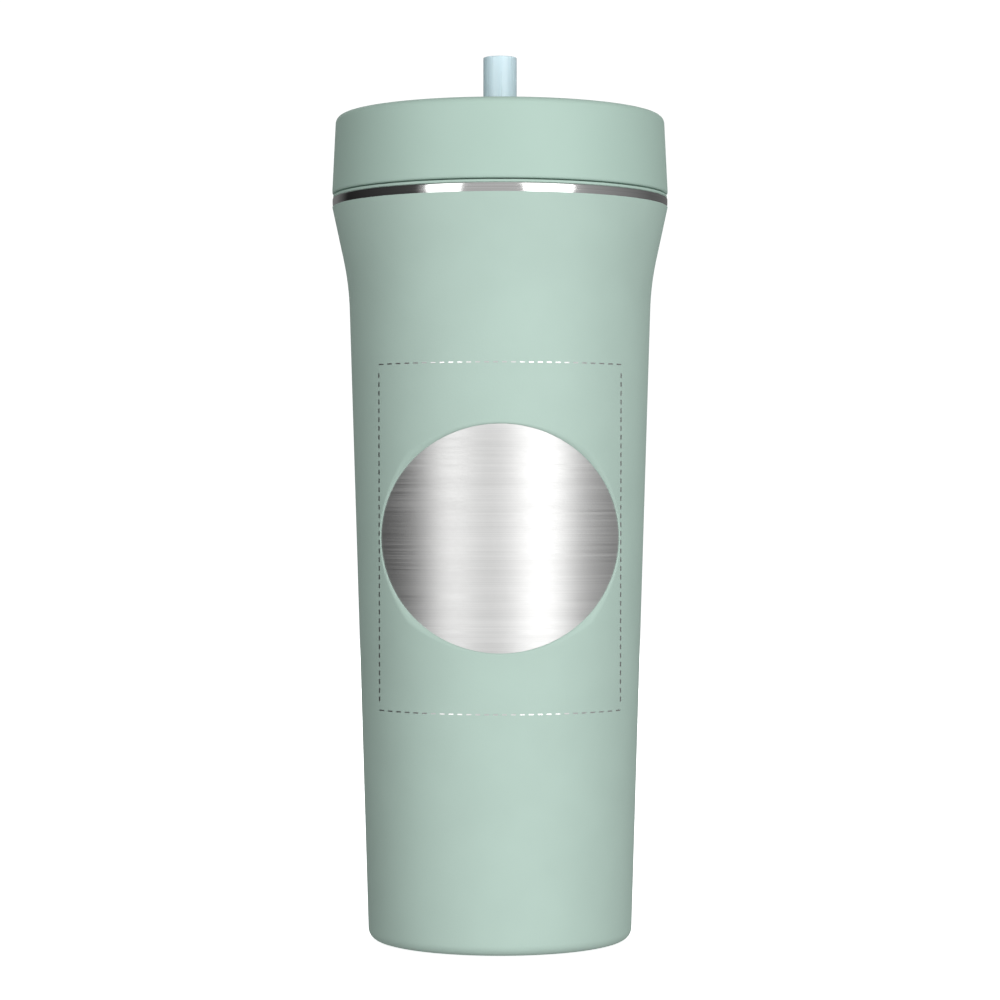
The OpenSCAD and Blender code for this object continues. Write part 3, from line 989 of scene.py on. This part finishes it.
class TUMBLER_OT_hidden_metal(Operator):
    """Finish what is under the base and in the vacuum: pan, cover disc, foil, getter, clip and bead."""

    bl_idname = "tumbler.hidden_metal"
    bl_label = "Base and Vacuum Pieces"

    def execute(self, context):
        steel_colour = tuple(context.scene.tumbler_colours.steel)
        steel = metal_finish("pressed_steel", steel_colour, 0.34, 300, 0.02 * MM)
        copper = metal_finish("copper_foil_finish", (0.83, 0.42, 0.27), 0.2, 120, 0.1 * MM)
        getter = metal_finish("getter_finish", (0.22, 0.22, 0.24), 0.7, 2400, 0.05 * MM)
        finishes = {
            "outer_base": ("steel", steel),
            "base_cover": ("steel", steel),
            "getter_clip": ("steel", steel),
            "copper_foil": ("copper", copper),
            "getter": ("getter_metal", getter),
            "seal_bead": ("solder_glass", solder_finish()),
        }
        for node, (slot, material) in finishes.items():
            smooth_copy(node, "cup", material)
        return {"FINISHED"}


class TUMBLER_OT_stage(Operator):
    """Set up the pale floor, the soft studio light and the camera at the front."""

    bl_idname = "tumbler.stage"
    bl_label = "Stage"

    def execute(self, context):
        scene = context.scene
        paper_floor()
        studio_world()
        for values in SOFTBOXES:
            softbox(*values)
        front_camera(scene)
        scene.view_settings.view_transform = "Standard"
        scene.view_settings.look = "None"
        return {"FINISHED"}


class TUMBLER_PT_panel(Panel):
    """Lists the tumbler's sizes, colours and pieces."""

    bl_idname = "TUMBLER_PT_panel"
    bl_label = "Tumbler"
    bl_space_type = "VIEW_3D"
    bl_region_type = "UI"
    bl_category = "Tumbler"

    def draw(self, context):
        for group in (context.scene.tumbler_sizes, context.scene.tumbler_colours):
            box = self.layout.box()
            for name in group.__annotations__:
                box.prop(group, name)
        for operator in OPERATORS:
            self.layout.operator(operator.bl_idname)


OPERATORS = (
    TUMBLER_OT_outer_wall,
    TUMBLER_OT_powder_coat,
    TUMBLER_OT_border,
    TUMBLER_OT_inside,
    TUMBLER_OT_lid_cover,
    TUMBLER_OT_lid_base,
    TUMBLER_OT_silicone,
    TUMBLER_OT_straw,
    TUMBLER_OT_hidden_metal,
    TUMBLER_OT_stage,
)
CLASSES = (TumblerSizes, TumblerColours, *OPERATORS, TUMBLER_PT_panel)


def register():
    for cls in CLASSES:
        bpy.utils.register_class(cls)
    bpy.types.Scene.tumbler_sizes = PointerProperty(type=TumblerSizes)
    bpy.types.Scene.tumbler_colours = PointerProperty(type=TumblerColours)


def unregister():
    del bpy.types.Scene.tumbler_colours
    del bpy.types.Scene.tumbler_sizes
    for cls in reversed(CLASSES):
        bpy.utils.unregister_class(cls)


def main():
    """Makes every piece and the stage."""
    register()
    for operator in OPERATORS:
        group, name = operator.bl_idname.split(".")
        getattr(getattr(bpy.ops, group), name)()


if __name__ == "__main__":
    main()
